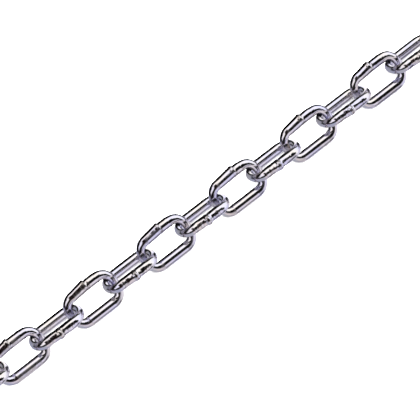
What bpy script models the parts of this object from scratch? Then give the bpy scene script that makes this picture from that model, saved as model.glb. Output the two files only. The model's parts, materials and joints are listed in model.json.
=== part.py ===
"""A cut length of welded short-link steel chain, laid straight on a level floor.

The run lies along +X. Each link is one piece of bright zinc plated round wire, bent to a closed
eye and butt welded in the middle of one side. Neighbouring links cross at right angles and each
leans 45 degrees, so that every link stands on one bare side and carries its weld on the other,
which is off the floor. The origin is on the floor under the middle of the run.
"""

import math

import bpy
from mathutils import Vector

# Driving dimensions, in metres
LINK_COUNT = 13
WIRE_DIAMETER = 0.0060
CROWN_DIAMETER = 0.0045
INNER_LENGTH = 0.0243
OUTER_WIDTH = 0.0236
CROWN_REACH = 0.0068
PLAY = 0.0003

# How full the ends are: 2 is half an ellipse, and more squares their shoulders
CROWN_FULLNESS = 2.3

# The weld lifts the outer edge of its side like a low roof
WELD_RISE = 0.00095
WELD_HALF_TOP = 0.0008

# How finely the wire is drawn
CROWN_STEPS = 8
WIRE_SIDES = 12
FLAT_MARGIN = 0.0012

# What follows from them
PITCH = INNER_LENGTH - PLAY
SIDE_OFFSET = (OUTER_WIDTH - WIRE_DIAMETER) / 2
CROWN_CENTRE = (INNER_LENGTH + CROWN_DIAMETER) / 2
SIDE_HALF_LENGTH = CROWN_CENTRE - CROWN_REACH
PLAIN_SIDE_HALF_FLAT = SIDE_HALF_LENGTH - FLAT_MARGIN
LEAN = math.radians(45)
FLAT_DEPTH = WIRE_DIAMETER / 2 * math.cos(math.pi / WIRE_SIDES)
AXIS_HEIGHT = SIDE_OFFSET * math.sin(LEAN) + FLAT_DEPTH
MIDDLE_LINK = (LINK_COUNT + 1) // 2

# Bright zinc plate, as the photograph shows it
ZINC_COLOUR = (0.62, 0.64, 0.67, 1.0)
ZINC_ROUGHNESS = 0.22


def clear_scene():
    """Removes whatever the scene holds."""
    for obj in list(bpy.data.objects):
        bpy.data.objects.remove(obj, do_unlink=True)


def zinc_plated_steel():
    """The finish of every link."""
    material = bpy.data.materials.new("zinc_plated_steel")
    material.use_nodes = True
    shader = material.node_tree.nodes["Principled BSDF"]
    shader.inputs["Base Color"].default_value = ZINC_COLOUR
    shader.inputs["Metallic"].default_value = 1.0
    shader.inputs["Roughness"].default_value = ZINC_ROUGHNESS
    return material


def crown(end):
    """Points of (place, wire diameter) round one end, from its -Y side to its +Y side.

    The end is a full half oval, and the wire is drawn thinner towards its middle, where the
    next link bears on it.
    """
    power = 2 / CROWN_FULLNESS
    points = []
    for step in range(CROWN_STEPS + 1):
        turn = math.pi * (step / CROWN_STEPS - 0.5)
        out, across = abs(math.cos(turn)), math.sin(turn)
        place = Vector((
            end * (SIDE_HALF_LENGTH + CROWN_REACH * out ** power),
            SIDE_OFFSET * math.copysign(abs(across) ** power, across),
            0,
        ))
        points.append((place, WIRE_DIAMETER - out * (WIRE_DIAMETER - CROWN_DIAMETER)))
    return points


def welded_side():
    """Points of the +Y side between the two ends, from +X to -X, with the weld in its middle.

    The inner edge stays straight: only the outer one rises from both shoulders to the weld.
    """
    return [
        (Vector((end * WELD_HALF_TOP, SIDE_OFFSET + WELD_RISE / 2, 0)), WIRE_DIAMETER + WELD_RISE)
        for end in (1, -1)
    ]


def plain_side():
    """Points of the -Y side between the two ends, from -X to +X. The link rests on this side."""
    return [
        (Vector((end * PLAIN_SIDE_HALF_FLAT, -SIDE_OFFSET, 0)), WIRE_DIAMETER)
        for end in (-1, 1)
    ]


def link_wire():
    """The closed wire of one link, centred on its own origin in the XY plane, long way along X."""
    points = crown(1) + welded_side() + crown(-1)[::-1] + plain_side()
    curve = bpy.data.curves.new("link_wire", "CURVE")
    curve.dimensions = "3D"
    curve.twist_mode = "Z_UP"
    curve.bevel_depth = WIRE_DIAMETER / 2
    curve.bevel_resolution = (WIRE_SIDES - 4) // 2
    curve.use_fill_caps = True
    spline = curve.splines.new("POLY")
    spline.points.add(len(points) - 1)
    for point, (place, diameter) in zip(spline.points, points):
        point.co = (*place, 1)
        point.radius = diameter / WIRE_DIAMETER
    spline.use_cyclic_u = True
    spline.use_smooth = True
    return curve


def lean_of(number):
    """How far a link is turned about X: its weld is up and to +Y, or up and to -Y, by turns."""
    return LEAN if number % 2 == 0 else math.pi - LEAN


def add_link(number, wire, collection):
    """One link as its own object. All links share the same wire."""
    link = bpy.data.objects.new(f"link_{number:02d}", wire)
    collection.objects.link(link)
    return link


def add_swing(inner, outer, holder, end, collection):
    """The empty that a link swings from, in the middle of its holder's crown.

    Its Z axis is the swing axis, which runs along the crown of the holder.
    """
    swing = bpy.data.objects.new(f"swing_{inner:02d}_{outer:02d}", None)
    swing.empty_display_size = WIRE_DIAMETER
    swing.parent = holder
    swing.location = (end * CROWN_CENTRE, 0, 0)
    swing.rotation_euler = (lean_of(outer) - lean_of(inner), 0, 0)
    collection.objects.link(swing)
    return swing


def build_chain():
    """The whole run, hung from its middle link outwards so that each link swings on the last."""
    collection = bpy.data.collections.new("steel_chain")
    bpy.context.scene.collection.children.link(collection)
    wire = link_wire()
    wire.materials.append(zinc_plated_steel())

    middle = add_link(MIDDLE_LINK, wire, collection)
    middle.location = (0, 0, AXIS_HEIGHT)
    middle.rotation_euler = (lean_of(MIDDLE_LINK), 0, 0)
    for end in (1, -1):
        holder, inner = middle, MIDDLE_LINK
        while 1 <= inner + end <= LINK_COUNT:
            outer = inner + end
            swing = add_swing(inner, outer, holder, end, collection)
            link = add_link(outer, wire, collection)
            link.parent = swing
            link.location = (end * (PITCH - CROWN_CENTRE), 0, 0)
            holder, inner = link, outer


clear_scene()
build_chain()
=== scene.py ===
"""The looks of a cut length of welded short-link steel chain, as a Blender 4.5 scene.

The run lies along +X on the floor. Every link is one piece of bright zinc plated wire, bent to a
closed eye and butt welded in the middle of the side that leans upwards. Each link's wire is
made by one Geometry Nodes tree, stands for its CAD node and rides on that node's body.
"""

import json
import logging
import math
import random
from dataclasses import Field, dataclass, field, fields, replace
from enum import Enum
from typing import Any

import bpy
from mathutils import Matrix, Vector

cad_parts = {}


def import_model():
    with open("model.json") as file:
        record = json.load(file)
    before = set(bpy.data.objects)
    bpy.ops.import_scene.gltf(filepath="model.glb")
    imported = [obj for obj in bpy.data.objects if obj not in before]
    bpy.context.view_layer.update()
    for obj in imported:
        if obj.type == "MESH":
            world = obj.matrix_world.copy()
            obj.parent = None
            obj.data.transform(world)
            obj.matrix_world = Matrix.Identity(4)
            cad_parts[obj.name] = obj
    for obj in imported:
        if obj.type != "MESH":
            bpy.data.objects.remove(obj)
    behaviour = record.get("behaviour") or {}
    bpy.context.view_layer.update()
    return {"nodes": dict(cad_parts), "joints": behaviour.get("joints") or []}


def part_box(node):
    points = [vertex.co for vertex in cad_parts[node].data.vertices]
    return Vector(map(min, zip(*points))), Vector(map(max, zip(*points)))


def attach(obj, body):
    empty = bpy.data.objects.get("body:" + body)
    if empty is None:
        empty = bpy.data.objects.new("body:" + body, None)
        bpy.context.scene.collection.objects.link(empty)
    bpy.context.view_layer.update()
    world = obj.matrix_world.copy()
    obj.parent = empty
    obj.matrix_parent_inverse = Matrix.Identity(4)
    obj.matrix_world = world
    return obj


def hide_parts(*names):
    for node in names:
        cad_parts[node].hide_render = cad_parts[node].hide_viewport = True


MM = 0.001
FULL_TURN = 360.0
LOG = logging.getLogger("steel_chain")

# The colour sockets of a Mix node, by number: the two that go in and the one that comes out
MIX_FROM = 6
MIX_TO = 7
MIX_RESULT = 2


def linear(colour: str) -> tuple[float, float, float, float]:
    """Turns an sRGB colour to the linear light that Blender works in.

    Args:
        colour: Six hex digits after a hash sign.

    Returns:
        Red, green, blue and an alpha of 1.
    """
    shares = [int(colour[start:start + 2], 16) / 255 for start in (1, 3, 5)]
    # The straight low end and the curve above it have the sRGB standard's own numbers
    low_end = 0.04045
    red, green, blue = (
        share / 12.92 if share <= low_end else ((share + 0.055) / 1.055) ** 2.4
        for share in shares
    )
    return red, green, blue, 1.0


def add_node(
    tree: bpy.types.NodeTree, kind: str, inputs: dict[Any, Any] | None = None, **settings: Any
) -> bpy.types.Node:
    """Adds a node with its settings and links.

    Args:
        tree: The tree that gets the node.
        kind: The node's type name in Blender.
        inputs: What each input takes, by its name or number. A node gives its first output, a
            socket is linked, and anything else is the input's own value.
        settings: The node's own properties.

    Returns:
        The new node.
    """
    node = tree.nodes.new(kind)
    for name, value in settings.items():
        setattr(node, name, value)
    for key, value in (inputs or {}).items():
        source = value.outputs[0] if isinstance(value, bpy.types.Node) else value
        if isinstance(source, bpy.types.NodeSocket):
            tree.links.new(source, node.inputs[key])
        else:
            node.inputs[key].default_value = source
    return node


def plain_name(size: Field) -> str:
    """The name of a size as an input of the wire tree, such as Weld Rise for weld_rise."""
    return size.name.replace("_", " ").title()


class Lean(Enum):
    """The way a link leans, as its turn about the run in degrees."""

    WELD_TO_THE_BACK = 45
    WELD_TO_THE_FRONT = 135

    @classmethod
    def of(cls, number: int) -> "Lean":
        """The lean of a link by its number: links lean to and fro by turns."""
        return cls.WELD_TO_THE_BACK if number % 2 == 0 else cls.WELD_TO_THE_FRONT


@dataclass(frozen=True, kw_only=True)
class WireSizes:
    """Sizes of one link's wire, in metres where they are lengths.

    Each is an input of the wire tree. Those without a value here differ from link to link.
    """

    # The eye: its wire, its straight sides and its ends, which are squarer the fuller they are
    wire_diameter: float = 6.0 * MM
    crown_diameter: float = 4.4 * MM
    side_offset: float = 8.8 * MM
    side_half_length: float = 7.6 * MM
    crown_reach: float = 6.8 * MM
    crown_fullness: float = 2.3
    shoulder_drop: float

    # The rise to the weld, its steeper fall to a foot past it, and the last slope down to the
    # shoulder. The foot is a share of the rise, and so is what the last slope would reach at
    # the weld. The focus is the power that keeps the rise to the outer face.
    weld_place: float
    weld_rise: float = 0.88 * MM
    weld_fall: float
    weld_foot: float = 0.25
    last_slope: float = 2.0
    peak_softness: float = 0.12
    outer_focus: float = 2.0
    weld_half_length: float = 2.1 * MM

    # The step where the two wire ends met
    weld_step: float
    step_length: float = 0.8 * MM

    # The jaws' dents: where they start and are at their deepest, as distances from the weld, and
    # where the grip starts to fade and ends, as shares of half a side's length
    jaw_depth: float
    jaw_pitch: float = 2.6 * MM
    jaw_start: float = 1.0 * MM
    jaw_deepest: float = 2.0 * MM
    grip_fade: float = 0.8
    grip_end: float = 1.3

    # The unevenness of bent and tumbled wire, in long waves and small dents
    wave_depth: float = 0.07 * MM
    wave_length: float = 5.0 * MM
    dent_depth: float = 0.035 * MM
    dent_length: float = 1.6 * MM
    seed: float


@dataclass(frozen=True)
class WireDetail:
    """How finely a link's wire is drawn: faces along it and around it, and points at a corner."""

    along: int = 420
    around: int = 48
    corner: int = 40


class WireTree:
    """The Geometry Nodes tree that makes one link's wire in its own XY plane, long way along X."""

    def __init__(self, detail: WireDetail) -> None:
        """Makes the tree.

        Args:
            detail: How finely the wire is drawn.
        """
        self.detail = detail
        self.tree = bpy.data.node_groups.new("link_wire", "GeometryNodeTree")
        sockets = self.tree.interface
        for size in fields(WireSizes):
            sockets.new_socket(
                name=plain_name(size), in_out="INPUT", socket_type="NodeSocketFloat"
            )
        sockets.new_socket(name="Finish", in_out="INPUT", socket_type="NodeSocketMaterial")
        sockets.new_socket(name="Geometry", in_out="OUTPUT", socket_type="NodeSocketGeometry")
        self.given = self.add("NodeGroupInput").outputs

        # What each point is told of its wire: the radius, the middle and the way out of the eye
        self.radius, self.middle, self.outward = (
            self.add("GeometryNodeInputNamedAttribute", {"Name": name}, data_type=kind)
            for name, kind in (
                ("wire_radius", "FLOAT"),
                ("wire_middle", "FLOAT_VECTOR"),
                ("outward", "FLOAT_VECTOR"),
            )
        )
        # What follows: the way from the wire's middle to its surface, and how far that is outward
        here = self.add("GeometryNodeInputPosition")
        away = self.add("ShaderNodeVectorMath", {0: here, 1: self.middle}, operation="SUBTRACT")
        self.radial = self.add("ShaderNodeVectorMath", {0: away}, operation="NORMALIZE")
        self.facing = self.add(
            "ShaderNodeVectorMath", {0: self.radial, 1: self.outward}, operation="DOT_PRODUCT"
        ).outputs["Value"]

        line = self.centre_line()
        wire = self.swept(line)
        wire = self.welded(wire)
        wire = self.waved(wire)
        self.finished(wire)

    def add(
        self, kind: str, inputs: dict[Any, Any] | None = None, **settings: Any
    ) -> bpy.types.Node:
        """Adds a node to this tree, as add_node does."""
        return add_node(self.tree, kind, inputs, **settings)

    def centre_line(self) -> bpy.types.Node:
        """Lays the wire's centre line: two straight sides and two half ovals.

        A rectangle with fully rounded ends gives the points. Those of its ends are moved to the
        ovals, and the welded side drops a little from the weld to its left shoulder.

        Returns:
            The node whose first output is the closed line, with the wire's radius on it.
        """
        given = self.given
        half = given["Side Half Length"]
        offset = given["Side Offset"]
        box_half = self.add("ShaderNodeMath", {0: half, 1: offset}, operation="ADD")
        width = self.add("ShaderNodeMath", {0: box_half, 1: 2.0}, operation="MULTIPLY")
        height = self.add("ShaderNodeMath", {0: offset, 1: 2.0}, operation="MULTIPLY")
        box = self.add(
            "GeometryNodeCurvePrimitiveQuadrilateral", {"Width": width, "Height": height}
        )
        rounded = self.add(
            "GeometryNodeFilletCurve",
            {"Curve": box, "Radius": offset, "Limit Radius": True, "Count": self.detail.corner},
            mode="POLY",
        )
        even = self.add(
            "GeometryNodeResampleCurve",
            {"Curve": rounded, "Count": self.detail.along},
            mode="COUNT",
        )

        # The turn round an end is 0 at its crown and a quarter turn on the straight sides
        here = self.add("GeometryNodeInputPosition")
        place = self.add("ShaderNodeSeparateXYZ", {0: here}).outputs
        reach_x = self.add("ShaderNodeMath", {0: place["X"]}, operation="ABSOLUTE")
        past_side = self.add("ShaderNodeMath", {0: reach_x, 1: half}, operation="SUBTRACT")
        past_side = self.add("ShaderNodeMath", {0: past_side, 1: 0.0}, operation="MAXIMUM")
        turn = self.add("ShaderNodeMath", {0: place["Y"], 1: past_side}, operation="ARCTAN2")
        crownness = self.add("ShaderNodeMath", {0: turn}, operation="COSINE")
        sideness = self.add("ShaderNodeMath", {0: turn}, operation="SINE")

        power = self.add("ShaderNodeMath", {0: 2.0, 1: given["Crown Fullness"]}, operation="DIVIDE")
        full_x = self.add("ShaderNodeMath", {0: crownness, 1: power}, operation="POWER")
        on_side = self.add("ShaderNodeMath", {0: reach_x, 1: half}, operation="MINIMUM")
        far_x = self.add(
            "ShaderNodeMath",
            {0: full_x, 1: given["Crown Reach"], 2: on_side},
            operation="MULTIPLY_ADD",
        )
        end = self.add("ShaderNodeMath", {0: place["X"]}, operation="SIGN")
        new_x = self.add("ShaderNodeMath", {0: far_x, 1: end}, operation="MULTIPLY")

        size_y = self.add("ShaderNodeMath", {0: sideness}, operation="ABSOLUTE")
        full_y = self.add("ShaderNodeMath", {0: size_y, 1: power}, operation="POWER")
        side = self.add("ShaderNodeMath", {0: sideness}, operation="SIGN")
        full_y = self.add("ShaderNodeMath", {0: full_y, 1: side}, operation="MULTIPLY")
        new_y = self.add("ShaderNodeMath", {0: full_y, 1: offset}, operation="MULTIPLY")
        far_left = self.add("ShaderNodeMath", {0: half, 1: -1.0}, operation="MULTIPLY")
        drop = self.add(
            "ShaderNodeMapRange",
            {"Value": place["X"], "From Min": given["Weld Place"], "From Max": far_left,
             "To Max": given["Shoulder Drop"]},
        )
        weld_side = self.add("ShaderNodeMath", {0: full_y, 1: 0.0}, operation="MAXIMUM")
        drop = self.add("ShaderNodeMath", {0: drop, 1: weld_side}, operation="MULTIPLY")
        new_y = self.add("ShaderNodeMath", {0: new_y, 1: drop}, operation="SUBTRACT")
        new_place = self.add("ShaderNodeCombineXYZ", {"X": new_x, "Y": new_y})
        line = self.add("GeometryNodeSetPosition", {"Geometry": even, "Position": new_place})

        full = given["Wire Diameter"]
        thinning = self.add(
            "ShaderNodeMath", {0: full, 1: given["Crown Diameter"]}, operation="SUBTRACT"
        )
        lost = self.add("ShaderNodeMath", {0: thinning, 1: crownness}, operation="MULTIPLY")
        diameter = self.add("ShaderNodeMath", {0: full, 1: lost}, operation="SUBTRACT")
        radius = self.add("ShaderNodeMath", {0: diameter, 1: 0.5}, operation="MULTIPLY")
        return self.add(
            "GeometryNodeStoreNamedAttribute",
            {"Geometry": line, "Name": "wire_radius", "Value": radius},
            data_type="FLOAT",
        )

    def swept(self, line: bpy.types.Node) -> bpy.types.Node:
        """Sweeps the round wire along its centre line.

        Args:
            line: The node that gives the centre line.

        Returns:
            The node whose first output is the wire's surface. Its points know the middle of the
            wire, the way out of the eye and how far along the wire they are.
        """
        tangent = self.add("GeometryNodeInputTangent")
        across = self.add(
            "ShaderNodeVectorMath", {0: tangent, 1: (0.0, 0.0, 1.0)}, operation="CROSS_PRODUCT"
        )
        here = self.add("GeometryNodeInputPosition")
        from_eye = self.add("ShaderNodeVectorMath", {0: across, 1: here}, operation="DOT_PRODUCT")
        sign = self.add("ShaderNodeMath", {0: from_eye.outputs["Value"]}, operation="SIGN")
        outward = self.add("ShaderNodeVectorMath", {0: across, "Scale": sign}, operation="SCALE")
        along = self.add("GeometryNodeSplineParameter").outputs["Length"]
        for name, kind, value in (
            ("wire_middle", "FLOAT_VECTOR", here),
            ("outward", "FLOAT_VECTOR", outward),
            ("along", "FLOAT", along),
        ):
            line = self.add(
                "GeometryNodeStoreNamedAttribute",
                {"Geometry": line, "Name": name, "Value": value},
                data_type=kind,
            )
        line = self.add("GeometryNodeSetCurveNormal", {"Curve": line}, mode="Z_UP")
        ring = self.add(
            "GeometryNodeCurvePrimitiveCircle",
            {"Resolution": self.detail.around, "Radius": 1.0},
            mode="RADIUS",
        )
        return self.add(
            "GeometryNodeCurveToMesh",
            {"Curve": line, "Profile Curve": ring, "Scale": self.radius},
        )

    def moved_out(self, wire: bpy.types.Node, distance: Any) -> bpy.types.Node:
        """Moves the surface away from the middle of the wire.

        Args:
            wire: The node that gives the surface.
            distance: What gives the distance in metres.

        Returns:
            The node whose first output is the moved surface.
        """
        offset = self.add(
            "ShaderNodeVectorMath", {0: self.radial, "Scale": distance}, operation="SCALE"
        )
        return self.add("GeometryNodeSetPosition", {"Geometry": wire, "Offset": offset})

    def welded(self, wire: bpy.types.Node) -> bpy.types.Node:
        """Raises the outer face of the welded side to a peak, with its step and its jaw dents.

        Args:
            wire: The node that gives the plain wire.

        Returns:
            The node whose first output is the welded wire, with weldness stored on it.
        """
        given = self.given
        middle = self.add("ShaderNodeSeparateXYZ", {0: self.middle}).outputs
        weld_side = self.add("ShaderNodeMath", {0: middle["Y"], 1: 0.0}, operation="GREATER_THAN")
        past_weld = self.add(
            "ShaderNodeMath", {0: middle["X"], 1: given["Weld Place"]}, operation="SUBTRACT"
        )
        distance = self.add("ShaderNodeMath", {0: past_weld}, operation="ABSOLUTE")

        rise = self.slopes(middle["X"], past_weld)
        for hollow in (self.step(past_weld), self.jaw_dents(middle["X"], distance)):
            rise = self.add("ShaderNodeMath", {0: rise, 1: hollow}, operation="SUBTRACT")

        # From 0 on the eye's inner face to 1 on its outer one
        outer = self.add(
            "ShaderNodeMath", {0: self.facing, 1: 0.5, 2: 0.5}, operation="MULTIPLY_ADD"
        )
        outer = self.add("ShaderNodeMath", {0: outer, 1: given["Outer Focus"]}, operation="POWER")
        outer = self.add("ShaderNodeMath", {0: outer, 1: weld_side}, operation="MULTIPLY")
        rise = self.add("ShaderNodeMath", {0: rise, 1: outer}, operation="MULTIPLY")

        weldness = self.add(
            "ShaderNodeMapRange",
            {"Value": distance, "From Min": given["Weld Half Length"], "From Max": 0.0},
            interpolation_type="SMOOTHSTEP",
        )
        weldness = self.add("ShaderNodeMath", {0: weldness, 1: weld_side}, operation="MULTIPLY")
        wire = self.add(
            "GeometryNodeStoreNamedAttribute",
            {"Geometry": wire, "Name": "weldness", "Value": weldness},
            data_type="FLOAT",
        )
        return self.moved_out(wire, rise)

    def slopes(self, place: Any, past_weld: Any) -> bpy.types.Node:
        """Draws the long slope up to the weld and the steeper one past it.

        Args:
            place: What gives the place along the side.
            past_weld: What gives how far past the weld it is.

        Returns:
            The node that gives how far the side rises there.
        """
        given = self.given
        half = given["Side Half Length"]
        far_left = self.add("ShaderNodeMath", {0: half, 1: -1.0}, operation="MULTIPLY")
        climb = self.add(
            "ShaderNodeMapRange",
            {"Value": place, "From Min": far_left, "From Max": given["Weld Place"]},
        )
        fall = self.add(
            "ShaderNodeMapRange",
            {"Value": past_weld, "From Min": given["Weld Fall"], "From Max": 0.0,
             "To Min": given["Weld Foot"]},
            interpolation_type="SMOOTHSTEP",
        )
        last = self.add(
            "ShaderNodeMapRange",
            {"Value": place, "From Min": half, "From Max": given["Weld Place"],
             "To Max": given["Last Slope"]},
        )
        fall = self.add("ShaderNodeMath", {0: fall, 1: last}, operation="MINIMUM")
        peak = self.add(
            "ShaderNodeMath", {0: climb, 1: fall, 2: given["Peak Softness"]}, operation="SMOOTH_MIN"
        )
        return self.add("ShaderNodeMath", {0: peak, 1: given["Weld Rise"]}, operation="MULTIPLY")

    def step(self, past_weld: Any) -> bpy.types.Node:
        """Draws the small step just past the weld, where the two wire ends met.

        Args:
            past_weld: What gives how far past the weld a place is.

        Returns:
            The node that gives the step's depth there.
        """
        given = self.given
        notch = self.add(
            "ShaderNodeMapRange",
            {"Value": past_weld, "From Max": given["Step Length"]},
            interpolation_type="SMOOTHSTEP",
        )
        recovery = self.add(
            "ShaderNodeMapRange",
            {"Value": past_weld, "From Min": given["Weld Half Length"],
             "From Max": given["Step Length"]},
            interpolation_type="SMOOTHSTEP",
        )
        notch = self.add("ShaderNodeMath", {0: notch, 1: recovery}, operation="MULTIPLY")
        return self.add("ShaderNodeMath", {0: notch, 1: given["Weld Step"]}, operation="MULTIPLY")

    def jaw_dents(self, place: Any, distance: Any) -> bpy.types.Node:
        """Draws the dents of the jaws that held the wire for welding, on both sides of the weld.

        Args:
            place: What gives the place along the side.
            distance: What gives its distance from the weld.

        Returns:
            The node that gives the dents' depth there.
        """
        given = self.given
        half = given["Side Half Length"]
        density = self.add("ShaderNodeMath", {0: 1.0, 1: given["Jaw Pitch"]}, operation="DIVIDE")
        teeth = self.add(
            "ShaderNodeTexNoise",
            {"W": given["Seed"], "Scale": density, "Detail": 0.0},
            noise_dimensions="4D",
        )
        held = self.add(
            "ShaderNodeMapRange",
            {"Value": distance, "From Min": given["Jaw Start"], "From Max": given["Jaw Deepest"],
             "To Max": given["Jaw Depth"]},
            interpolation_type="SMOOTHSTEP",
        )
        reach = self.add("ShaderNodeMath", {0: place}, operation="ABSOLUTE")
        end = self.add("ShaderNodeMath", {0: half, 1: given["Grip End"]}, operation="MULTIPLY")
        fade = self.add("ShaderNodeMath", {0: half, 1: given["Grip Fade"]}, operation="MULTIPLY")
        gripped = self.add(
            "ShaderNodeMapRange",
            {"Value": reach, "From Min": end, "From Max": fade},
            interpolation_type="SMOOTHSTEP",
        )
        held = self.add("ShaderNodeMath", {0: held, 1: gripped}, operation="MULTIPLY")
        return self.add("ShaderNodeMath", {0: held, 1: teeth}, operation="MULTIPLY")

    def waved(self, wire: bpy.types.Node) -> bpy.types.Node:
        """Makes the surface slightly uneven, as cold bent and tumbled wire is, and only inwards.

        Args:
            wire: The node that gives the welded wire.

        Returns:
            The node whose first output is the uneven wire.
        """
        given = self.given
        depths = []
        for length, depth in (("Wave Length", "Wave Depth"), ("Dent Length", "Dent Depth")):
            density = self.add("ShaderNodeMath", {0: 1.0, 1: given[length]}, operation="DIVIDE")
            noise = self.add(
                "ShaderNodeTexNoise",
                {"W": given["Seed"], "Scale": density, "Detail": 1.0},
                noise_dimensions="4D",
            )
            depths.append(
                self.add("ShaderNodeMath", {0: noise, 1: given[depth]}, operation="MULTIPLY")
            )
        depth = self.add("ShaderNodeMath", {0: depths[0], 1: depths[1]}, operation="ADD")
        inwards = self.add("ShaderNodeMath", {0: depth, 1: -1.0}, operation="MULTIPLY")
        return self.moved_out(wire, inwards)

    def finished(self, wire: bpy.types.Node) -> None:
        """Ends the tree: coordinates for the finish, smooth shading, real faces and the material.

        Args:
            wire: The node that gives the finished shape.
        """
        along = self.add("GeometryNodeInputNamedAttribute", {"Name": "along"}, data_type="FLOAT")
        up = self.add("ShaderNodeSeparateXYZ", {0: self.radial}).outputs["Z"]
        on_wire = self.add("ShaderNodeCombineXYZ", {
            "X": along,
            "Y": self.add("ShaderNodeMath", {0: self.facing, 1: self.radius}, operation="MULTIPLY"),
            "Z": self.add("ShaderNodeMath", {0: up, 1: self.radius}, operation="MULTIPLY"),
        })
        wire = self.add(
            "GeometryNodeStoreNamedAttribute",
            {"Geometry": wire, "Name": "on_wire", "Value": on_wire},
            data_type="FLOAT_VECTOR",
        )
        for name in ("wire_radius", "wire_middle", "outward", "along"):
            wire = self.add("GeometryNodeRemoveAttribute", {"Geometry": wire, "Name": name})
        wire = self.add("GeometryNodeSetShadeSmooth", {"Geometry": wire})
        wire = self.add("GeometryNodeRealizeInstances", {"Geometry": wire})
        wire = self.add(
            "GeometryNodeSetMaterial", {"Geometry": wire, "Material": self.given["Finish"]}
        )
        self.add("NodeGroupOutput", {0: wire})

    def mesh(self, name: str, sizes: WireSizes, finish: bpy.types.Material) -> bpy.types.Mesh:
        """Runs the tree once and keeps its result as a plain mesh.

        Args:
            name: The new mesh's name.
            sizes: The link's sizes.
            finish: The material that the tree sets.

        Returns:
            The mesh, in the link's own XY plane.
        """
        holder = bpy.data.objects.new(name, bpy.data.meshes.new(name))
        bpy.context.scene.collection.objects.link(holder)
        modifier = holder.modifiers.new("link_wire", "NODES")
        modifier.node_group = self.tree
        sockets = {item.name: item.identifier for item in self.tree.interface.items_tree}
        for size in fields(sizes):
            modifier[sockets[plain_name(size)]] = getattr(sizes, size.name)
        modifier[sockets["Finish"]] = finish
        graph = bpy.context.evaluated_depsgraph_get()
        mesh = bpy.data.meshes.new_from_object(holder.evaluated_get(graph))
        bpy.data.objects.remove(holder, do_unlink=True)
        mesh.name = name
        return mesh


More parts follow.
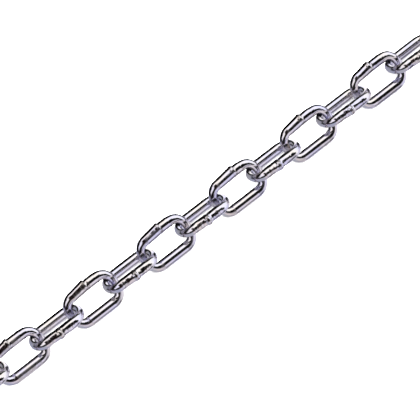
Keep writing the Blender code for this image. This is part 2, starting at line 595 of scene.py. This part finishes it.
@dataclass(frozen=True)
class BrightZincPlate:
    """Barrel zinc plate with a clear blue passivate over drawn steel wire.

    It is smooth and shiny, with a faint blue and straw cast, a duller weld and fine drawn lines.
    A spread is the part of a noise, from 0 to 1, that a pattern runs over.
    """

    # The colours of the plate, of its cast to either side and of the scale at the weld
    plate: str = "#D7D3D9"
    blue_cast: str = "#CFCDDE"
    straw_cast: str = "#DAD4D1"
    weld_scale: str = "#8D8680"

    # How widely the cast drifts, and how large the patches of scale are
    cast_size: float = 9 * MM
    cast_spread: tuple[float, float] = (0.36, 0.64)
    patch_size: float = 1.2 * MM
    patch_spread: tuple[float, float] = (0.45, 0.62)

    # Roughness, and what the clouds and the weld's scale add to it
    roughness: float = 0.08
    cloud_size: float = 3 * MM
    cloud_spread: tuple[float, float] = (0.3, 0.7)
    cloud_roughness: float = 0.06
    weld_roughness: float = 0.22

    # Real die lines and plating grain are too fine to show, so both are drawn coarser
    line_width: float = 0.25 * MM
    line_length: float = 6 * MM
    line_depth: float = 0.004 * MM
    grain_size: float = 0.35 * MM
    grain_depth: float = 0.003 * MM

    def material(self) -> bpy.types.Material:
        """Makes the material.

        Returns:
            A material whose colour, roughness and bump come from procedural nodes.
        """
        material = bpy.data.materials.new("bright_zinc_plate")
        material.use_nodes = True
        tree = material.node_tree
        shader = tree.nodes["Principled BSDF"]
        shader.inputs["Metallic"].default_value = 1.0
        place = add_node(tree, "ShaderNodeTexCoord").outputs["Object"]

        # Welding scale under the plate leaves the weld darker in patches and rougher
        weldness = add_node(tree, "ShaderNodeAttribute", attribute_name="weldness").outputs["Fac"]
        patches = add_node(
            tree, "ShaderNodeTexNoise",
            {"Vector": place, "Scale": 1 / self.patch_size, "Detail": 3.0},
        )
        low, high = self.patch_spread
        patchy = add_node(
            tree, "ShaderNodeMapRange", {"Value": patches, "From Min": low, "From Max": high}
        )
        scale = add_node(tree, "ShaderNodeMath", {0: patchy, 1: weldness}, operation="MULTIPLY")

        tree.links.new(self.colour(tree, place, scale), shader.inputs["Base Color"])
        tree.links.new(self.dullness(tree, place, scale), shader.inputs["Roughness"])
        tree.links.new(self.relief(tree, place), shader.inputs["Normal"])
        return material

    def colour(
        self, tree: bpy.types.NodeTree, place: bpy.types.NodeSocket, scale: bpy.types.Node
    ) -> bpy.types.NodeSocket:
        """Colours the plate: its cast drifts from blue to straw over about a link's width.

        Args:
            tree: The material's tree.
            place: What gives the place in the object.
            scale: What gives how much welding scale shows.

        Returns:
            The socket that gives the colour.
        """
        cast = add_node(
            tree, "ShaderNodeTexNoise",
            {"Vector": place, "Scale": 1 / self.cast_size, "Detail": 1.0},
        )
        tones = add_node(tree, "ShaderNodeValToRGB", {0: cast})
        low, high = self.cast_spread
        stops = tones.color_ramp.elements
        stops[0].position = low
        stops[0].color = linear(self.blue_cast)
        stops[1].position = high
        stops[1].color = linear(self.straw_cast)
        stops.new((low + high) / 2).color = linear(self.plate)
        mixed = add_node(
            tree, "ShaderNodeMix",
            {"Factor": scale, MIX_FROM: tones, MIX_TO: linear(self.weld_scale)},
            data_type="RGBA",
        )
        return mixed.outputs[MIX_RESULT]

    def dullness(
        self, tree: bpy.types.NodeTree, place: bpy.types.NodeSocket, scale: bpy.types.Node
    ) -> bpy.types.NodeSocket:
        """Clouds the shine a little, and dulls it more where welding scale shows.

        Args:
            tree: The material's tree.
            place: What gives the place in the object.
            scale: What gives how much welding scale shows.

        Returns:
            The socket that gives the roughness.
        """
        clouds = add_node(
            tree, "ShaderNodeTexNoise",
            {"Vector": place, "Scale": 1 / self.cloud_size, "Detail": 3.0},
        )
        low, high = self.cloud_spread
        clouded = add_node(
            tree, "ShaderNodeMapRange",
            {"Value": clouds, "From Min": low, "From Max": high, "To Min": self.roughness,
             "To Max": self.roughness + self.cloud_roughness},
        )
        return add_node(
            tree, "ShaderNodeMath",
            {0: scale, 1: self.weld_roughness, 2: clouded},
            operation="MULTIPLY_ADD",
        ).outputs[0]

    def relief(
        self, tree: bpy.types.NodeTree, place: bpy.types.NodeSocket
    ) -> bpy.types.NodeSocket:
        """Draws the fine lines that the die left along the wire, and the grain of the plate.

        Args:
            tree: The material's tree.
            place: What gives the place in the object.

        Returns:
            The socket that gives the surface's direction.
        """
        on_wire = add_node(tree, "ShaderNodeAttribute", attribute_name="on_wire").outputs["Vector"]
        stretched = add_node(
            tree, "ShaderNodeMapping",
            {"Vector": on_wire,
             "Scale": (1 / self.line_length, 1 / self.line_width, 1 / self.line_width)},
        )
        lines = add_node(
            tree, "ShaderNodeTexNoise", {"Vector": stretched, "Scale": 1.0, "Detail": 2.0}
        )
        lined = add_node(
            tree, "ShaderNodeBump",
            {"Height": lines, "Distance": self.line_depth, "Strength": 1.0},
        )
        grain = add_node(
            tree, "ShaderNodeTexNoise",
            {"Vector": place, "Scale": 1 / self.grain_size, "Detail": 2.0},
        )
        return add_node(
            tree, "ShaderNodeBump",
            {"Height": grain, "Distance": self.grain_depth, "Strength": 1.0, "Normal": lined},
        ).outputs[0]


@dataclass
class ChainLink:
    """One link: a closed eye of welded wire."""

    number: int
    centre: Vector
    sizes: WireSizes

    @property
    def name(self) -> str:
        """The name of the CAD node and body that this link stands for."""
        return f"link_{self.number:02d}"

    def build(self, wire: WireTree, finish: bpy.types.Material) -> bpy.types.Object:
        """Makes the link's wire, leans it, sets it in its place and stands it on the floor.

        Args:
            wire: The tree that makes the wire.
            finish: The material of its plate.

        Returns:
            The link's object, at the origin, with its place in its mesh.
        """
        mesh = wire.mesh(f"{self.name}_wire", self.sizes, finish)
        lean = Matrix.Rotation(math.radians(Lean.of(self.number).value), 4, "X")
        mesh.transform(Matrix.Translation(self.centre) @ lean)
        lowest = min(vertex.co.z for vertex in mesh.vertices)
        mesh.transform(Matrix.Translation((0, 0, -lowest)))
        piece = bpy.data.objects.new(f"{self.name}_wire", mesh)
        bpy.context.scene.collection.objects.link(piece)
        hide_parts(self.name)
        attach(piece, self.name)
        return piece


@dataclass
class ChainRun:
    """The whole run of links, each placed by its CAD node.

    The pairs are the least and the most of what is drawn anew for each link. The jaw dents are
    deeper where the weld is to the front. The late welds, by the link's number, lie further along
    their side than the others.
    """

    axis_height: float
    count: int
    detail: WireDetail = WireDetail()
    seed: int = 24
    weld_places: tuple[float, float] = (-1.2 * MM, 1.2 * MM)
    weld_falls: tuple[float, float] = (1.3 * MM, 2.2 * MM)
    weld_steps: tuple[float, float] = (0.35 * MM, 0.60 * MM)
    shoulder_drops: tuple[float, float] = (0.3 * MM, 0.6 * MM)
    jaw_depths: tuple[float, float] = (0.12 * MM, 0.25 * MM)
    front_jaw_depths: tuple[float, float] = (0.60 * MM, 0.95 * MM)
    noise_seeds: tuple[float, float] = (0.0, 100.0)
    late_welds: dict[int, float] = field(default_factory=lambda: {6: 1.3 * MM, 8: 3.0 * MM})

    def links(self) -> list[ChainLink]:
        """Lists the links with the small differences that welding leaves between them.

        Returns:
            The links in order from -X to +X.
        """
        draw = random.Random(self.seed)
        links = []
        for number in range(1, self.count + 1):
            low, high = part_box(f"link_{number:02d}")
            centre = Vector(((low.x + high.x) / 2, 0, self.axis_height))
            to_front = Lean.of(number) is Lean.WELD_TO_THE_FRONT
            sizes = WireSizes(
                weld_place=draw.uniform(*self.weld_places),
                weld_fall=draw.uniform(*self.weld_falls),
                weld_step=draw.uniform(*self.weld_steps),
                shoulder_drop=draw.uniform(*self.shoulder_drops),
                jaw_depth=draw.uniform(*(self.front_jaw_depths if to_front else self.jaw_depths)),
                seed=draw.uniform(*self.noise_seeds),
            )
            if number in self.late_welds:
                sizes = replace(sizes, weld_place=self.late_welds[number])
            links.append(ChainLink(number, centre, sizes))
        return links

    def build(self, finish: bpy.types.Material) -> None:
        """Builds every link.

        Args:
            finish: The material of their plate.
        """
        wire = WireTree(self.detail)
        for link in self.links():
            piece = link.build(wire, finish)
            LOG.info("%s: %d faces", piece.name, len(piece.data.polygons))


@dataclass(frozen=True)
class Glow:
    """One step in a panel of the light tent: an angle in degrees and the light from there."""

    angle: float
    brightness: float
    colour: str = "#FFFFFF"

    def light(self) -> tuple[float, float, float, float]:
        """The light as a linear colour."""
        red, green, blue, alpha = linear(self.colour)
        return red * self.brightness, green * self.brightness, blue * self.brightness, alpha


@dataclass(frozen=True)
class Panel:
    """One upright strip of the light tent.

    It fades in between two places along the run, given as the sine of the angle from square, and
    reaches on to the next panel. Its light goes by the angle about the run: 0 is the back, 90 is
    overhead, 180 is the front and 270 is the floor.
    """

    start: float
    full: float
    glows: tuple[Glow, ...]


@dataclass(frozen=True)
class LightTent:
    """A long soft tent round the run, whose light the chain mirrors.

    It is white overhead with a dark slot for the lens, pale in front and below, and dark at the
    back. Its panels go from left to right: the far left is dim, and the slot closes on the right.
    """

    strength: float = 1.5
    backdrop: str = "#FFFFFF"
    panels: tuple[Panel, ...] = (
        Panel(-1.0, -1.0, (
            Glow(0, 0.05, "#6A5C6A"),
            Glow(60, 0.06, "#6A5C6A"),
            Glow(110, 0.10, "#7A6A7C"),
            Glow(155, 0.10, "#7A6A7C"),
            Glow(172, 0.50, "#D4CEE4"),
            Glow(325, 0.50, "#D4CEE4"),
            Glow(340, 0.06, "#6A5C6A"),
            Glow(360, 0.05, "#6A5C6A"),
        )),
        Panel(-0.93, -0.83, (
            Glow(0, 0.01, "#40383A"),
            Glow(62, 0.02, "#40383A"),
            Glow(76, 0.90, "#FAF8FC"),
            Glow(106, 0.90, "#FAF8FC"),
            Glow(120, 0.03, "#5A4E5C"),
            Glow(158, 0.03, "#5A4E5C"),
            Glow(172, 0.55, "#DCE0EE"),
            Glow(320, 0.48, "#CCD0E2"),
            Glow(332, 0.02, "#40383A"),
            Glow(360, 0.01, "#40383A"),
        )),
        Panel(-0.66, -0.52, (
            Glow(0, 0.01, "#40383A"),
            Glow(50, 0.02, "#40383A"),
            Glow(60, 0.95, "#FDFBFC"),
            Glow(112, 0.95, "#FDFBFC"),
            Glow(122, 0.03, "#50484E"),
            Glow(154, 0.03, "#50484E"),
            Glow(168, 0.58, "#DCE0EE"),
            Glow(338, 0.46, "#CCD0DE"),
            Glow(348, 0.02, "#40383A"),
            Glow(360, 0.01, "#40383A"),
        )),
        Panel(-0.44, -0.32, (
            Glow(0, 0.01, "#4A3438"),
            Glow(40, 0.03, "#4A3438"),
            Glow(50, 1.0, "#FFFAF9"),
            Glow(66, 1.0, "#FFFAF9"),
            Glow(75, 0.03, "#7A4A48"),
            Glow(154, 0.03, "#7A4A48"),
            Glow(166, 0.80, "#F0E6EA"),
            Glow(190, 0.74, "#E8E2EA"),
            Glow(210, 0.56, "#D8D4E0"),
            Glow(240, 0.54, "#D4D6E6"),
            Glow(340, 0.44, "#C8CAD8"),
            Glow(349, 0.02, "#40383A"),
            Glow(360, 0.01, "#40383A"),
        )),
        Panel(-0.10, -0.06, (
            Glow(0, 0.01, "#4A3438"),
            Glow(40, 0.03, "#4A3438"),
            Glow(50, 1.0, "#FFFCFB"),
            Glow(84, 1.0, "#FFFCFB"),
            Glow(101, 0.26, "#F4F2F2"),
            Glow(122, 0.06, "#F0ECEE"),
            Glow(148, 0.08, "#F0ECEE"),
            Glow(168, 0.50, "#ECE9F2"),
            Glow(200, 0.52, "#E8E5F0"),
            Glow(240, 0.66, "#E8E5F0"),
            Glow(318, 0.52, "#E4E2E8"),
            Glow(328, 0.02, "#40383A"),
            Glow(360, 0.01, "#40383A"),
        )),
        Panel(0.0, 0.03, (
            Glow(0, 0.01, "#40383A"),
            Glow(40, 0.02, "#40383A"),
            Glow(50, 1.0),
            Glow(90, 1.0),
            Glow(98, 0.01, "#40383A"),
            Glow(146, 0.01, "#40383A"),
            Glow(158, 0.92, "#E9E7F4"),
            Glow(190, 0.85, "#E2E0F0"),
            Glow(202, 0.42, "#AEAAB6"),
            Glow(226, 0.42, "#AEAAB6"),
            Glow(240, 0.75, "#E8E8F2"),
            Glow(290, 0.60, "#D8D6E4"),
            Glow(302, 0.02, "#40383A"),
            Glow(360, 0.01, "#40383A"),
        )),
        Panel(0.18, 0.27, (
            Glow(0, 0.03, "#4A4A5A"),
            Glow(38, 0.04, "#4A4A5A"),
            Glow(48, 1.0),
            Glow(92, 1.0),
            Glow(100, 0.01, "#40383E"),
            Glow(156, 0.01, "#40383E"),
            Glow(167, 0.75, "#E0DEE8"),
            Glow(190, 0.60, "#D4D2DE"),
            Glow(202, 0.24, "#9C96A6"),
            Glow(226, 0.24, "#9C96A6"),
            Glow(240, 0.70, "#E0E0EA"),
            Glow(312, 0.60, "#D8D8E4"),
            Glow(320, 1.0, "#F8F8FC"),
            Glow(335, 1.0, "#F8F8FC"),
            Glow(345, 0.04, "#4A4A5A"),
            Glow(360, 0.03, "#4A4A5A"),
        )),
        Panel(0.40, 0.48, (
            Glow(0, 0.03, "#4A4A5A"),
            Glow(36, 0.04, "#4A4A5A"),
            Glow(46, 1.0),
            Glow(108, 1.0),
            Glow(117, 0.01, "#40383E"),
            Glow(158, 0.01, "#40383E"),
            Glow(168, 0.85, "#EAE8F2"),
            Glow(300, 0.65, "#E0E0EA"),
            Glow(318, 0.95, "#F4F4FA"),
            Glow(333, 0.95, "#F4F4FA"),
            Glow(345, 0.04, "#4A4A5A"),
            Glow(360, 0.03, "#4A4A5A"),
        )),
        Panel(0.53, 0.59, (
            Glow(0, 0.03, "#4A4A5A"),
            Glow(30, 0.04, "#4A4A5A"),
            Glow(42, 1.0),
            Glow(120, 1.0),
            Glow(128, 0.01, "#40383E"),
            Glow(158, 0.01, "#40383E"),
            Glow(166, 0.90, "#EAE8F2"),
            Glow(292, 0.70, "#E0E0EA"),
            Glow(310, 0.10, "#50546A"),
            Glow(345, 0.04, "#4A4A5A"),
            Glow(360, 0.03, "#4A4A5A"),
        )),
        Panel(0.66, 0.74, (
            Glow(0, 0.03, "#50546A"),
            Glow(28, 0.04, "#50546A"),
            Glow(40, 1.0, "#FAFCFF"),
            Glow(180, 1.0, "#FAFCFF"),
            Glow(200, 0.85, "#E8E6F6"),
            Glow(292, 0.75, "#E8E6F6"),
            Glow(310, 0.06, "#50546A"),
            Glow(360, 0.03, "#50546A"),
        )),
        Panel(0.84, 0.92, (
            Glow(0, 0.05, "#50546A"),
            Glow(10, 0.08, "#50546A"),
            Glow(20, 0.95, "#F4F7FF"),
            Glow(180, 0.95, "#F4F7FF"),
            Glow(200, 0.75, "#E8E6F6"),
            Glow(290, 0.70, "#E8E6F6"),
            Glow(305, 0.08, "#50546A"),
            Glow(360, 0.05, "#50546A"),
        )),
    )

    def painted(
        self, tree: bpy.types.NodeTree, angle: bpy.types.Node, panel: Panel
    ) -> bpy.types.Node:
        """Paints one panel along the angle about the run.

        Args:
            tree: The world's tree.
            angle: What gives the angle, as a share of a full turn.
            panel: The panel.

        Returns:
            The node whose first output is the panel's light.
        """
        ramp = add_node(tree, "ShaderNodeValToRGB", {0: angle})
        stops = ramp.color_ramp.elements
        stops.remove(stops[1])
        for number, glow in enumerate(panel.glows):
            share = glow.angle / FULL_TURN
            stop = stops[0] if number == 0 else stops.new(share)
            stop.position = share
            stop.color = glow.light()
        return ramp

    def hang(self) -> None:
        """Makes the tent the scene's world, and shows the lens a plain pale backdrop instead."""
        world = bpy.data.worlds.new("light_tent")
        bpy.context.scene.world = world
        world.use_nodes = True
        tree = world.node_tree
        way = add_node(tree, "ShaderNodeTexCoord").outputs["Generated"]
        parts = add_node(tree, "ShaderNodeSeparateXYZ", {0: way}).outputs
        angle = add_node(
            tree, "ShaderNodeMath", {0: parts["Z"], 1: parts["Y"]}, operation="ARCTAN2"
        )
        angle = add_node(tree, "ShaderNodeMath", {0: angle, 1: math.tau}, operation="DIVIDE")
        angle = add_node(tree, "ShaderNodeMath", {0: angle, 1: 1.0}, operation="ADD")
        angle = add_node(tree, "ShaderNodeMath", {0: angle}, operation="FRACT")
        shown = self.painted(tree, angle, self.panels[0]).outputs[0]
        for panel in self.panels[1:]:
            share = add_node(
                tree, "ShaderNodeMapRange",
                {"Value": parts["X"], "From Min": panel.start, "From Max": panel.full},
                interpolation_type="SMOOTHSTEP",
            )
            light = self.painted(tree, angle, panel)
            mixed = add_node(
                tree, "ShaderNodeMix",
                {"Factor": share, MIX_FROM: shown, MIX_TO: light},
                data_type="RGBA",
            )
            shown = mixed.outputs[MIX_RESULT]
        inside = tree.nodes["Background"]
        inside.inputs["Strength"].default_value = self.strength
        tree.links.new(shown, inside.inputs["Color"])
        behind = add_node(
            tree, "ShaderNodeBackground", {"Color": linear(self.backdrop), "Strength": 1.0}
        )
        seen = add_node(tree, "ShaderNodeLightPath").outputs["Is Camera Ray"]
        both = add_node(tree, "ShaderNodeMixShader", {0: seen, 1: inside, 2: behind})
        tree.links.new(both.outputs[0], tree.nodes["World Output"].inputs["Surface"])


@dataclass(frozen=True)
class WhitePaper:
    """Matt white paper: even, bright and without gloss."""

    colour: str = "#F2F2F1"
    roughness: float = 1.0
    gloss: float = 0.0

    def material(self) -> bpy.types.Material:
        """Makes the material.

        Returns:
            A material of one matt colour.
        """
        material = bpy.data.materials.new("white_paper")
        material.use_nodes = True
        shader = material.node_tree.nodes["Principled BSDF"]
        shader.inputs["Base Color"].default_value = linear(self.colour)
        shader.inputs["Roughness"].default_value = self.roughness
        shader.inputs["Specular IOR Level"].default_value = self.gloss
        return material


@dataclass
class Studio:
    """The plain pale floor and its soft light, in metres and watts."""

    floor_radius: float = 3.0
    floor_sides: int = 64
    lamp_size: float = 1.6
    lamp_height: float = 1.5
    lamp_power: float = 150.0

    def build(self) -> None:
        """Lays the floor, hangs the lamp over it and puts the tent round both."""
        self.lay_floor()
        self.hang_lamp()
        LightTent().hang()

    def lay_floor(self) -> None:
        """Lays a round floor of white paper, which the chain doesn't mirror."""
        mesh = bpy.data.meshes.new("floor")
        rim = []
        for side in range(self.floor_sides):
            turn = math.tau * side / self.floor_sides
            rim.append((self.floor_radius * math.cos(turn), self.floor_radius * math.sin(turn), 0))
        mesh.from_pydata(rim, [], [tuple(range(self.floor_sides))])
        mesh.materials.append(WhitePaper().material())
        floor = bpy.data.objects.new("floor", mesh)
        bpy.context.scene.collection.objects.link(floor)
        floor.visible_glossy = False

    def hang_lamp(self) -> None:
        """Hangs a wide soft lamp over the floor, which neither the lens nor the chain sees."""
        lamp = bpy.data.lights.new("overhead_lamp", "AREA")
        lamp.size = self.lamp_size
        lamp.energy = self.lamp_power
        holder = bpy.data.objects.new("overhead_lamp", lamp)
        holder.location = (0, 0, self.lamp_height)
        holder.visible_camera = False
        holder.visible_glossy = False
        bpy.context.scene.collection.objects.link(holder)


@dataclass(frozen=True)
class PhotoCamera:
    """The camera at the photograph's place: high over the front of the run and rolled.

    Its angles are in degrees, its lens and sensor in millimetres and the rest in metres. The
    middle of its frame lies ahead of the run's middle, and the run's middle line above it.
    """

    elevation: float = 68.0
    turn: float = 8.0
    roll: float = 37.6
    frame_width: float = 0.221
    run_ahead: float = 5.13 * MM
    axis_above: float = 0.35 * MM
    lens: float = 150.0
    sensor: float = 36.0
    nearest: float = 0.01
    furthest: float = 20.0

    def build(self, axis_height: float) -> None:
        """Makes the camera and gives it to the scene.

        Args:
            axis_height: Height of the run's middle line over the floor.
        """
        climb, turn, roll = (
            math.radians(angle) for angle in (self.elevation, self.turn, self.roll)
        )
        facing = Vector((0, -math.cos(climb), math.sin(climb)))
        back = facing * math.cos(turn) - Vector((math.sin(turn), 0, 0))
        along = (Vector((1, 0, 0)) - back * back.x).normalized()
        across = back.cross(along)
        right = along * math.cos(roll) - across * math.sin(roll)
        up = along * math.sin(roll) + across * math.cos(roll)
        aim = Vector((self.run_ahead, 0, axis_height)) - across * self.axis_above
        data = bpy.data.cameras.new("photo_camera")
        data.lens = self.lens
        data.sensor_width = self.sensor
        data.clip_start = self.nearest
        data.clip_end = self.furthest
        camera = bpy.data.objects.new("photo_camera", data)
        turned = Matrix((right, up, back)).transposed().to_4x4()
        distance = self.frame_width * self.lens / self.sensor
        camera.matrix_world = Matrix.Translation(aim + back * distance) @ turned
        bpy.context.scene.collection.objects.link(camera)
        bpy.context.scene.camera = camera


def main() -> None:
    """Builds the chain, its studio and its camera."""
    logging.basicConfig(level=logging.INFO, format="%(name)s: %(message)s")
    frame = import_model()
    axis_height = frame["joints"][0]["pos_m"][2]
    ChainRun(axis_height, len(frame["nodes"])).build(BrightZincPlate().material())
    Studio().build()
    PhotoCamera().build(axis_height)
    bpy.context.scene.view_settings.view_transform = "Standard"


if __name__ == "__main__":
    main()
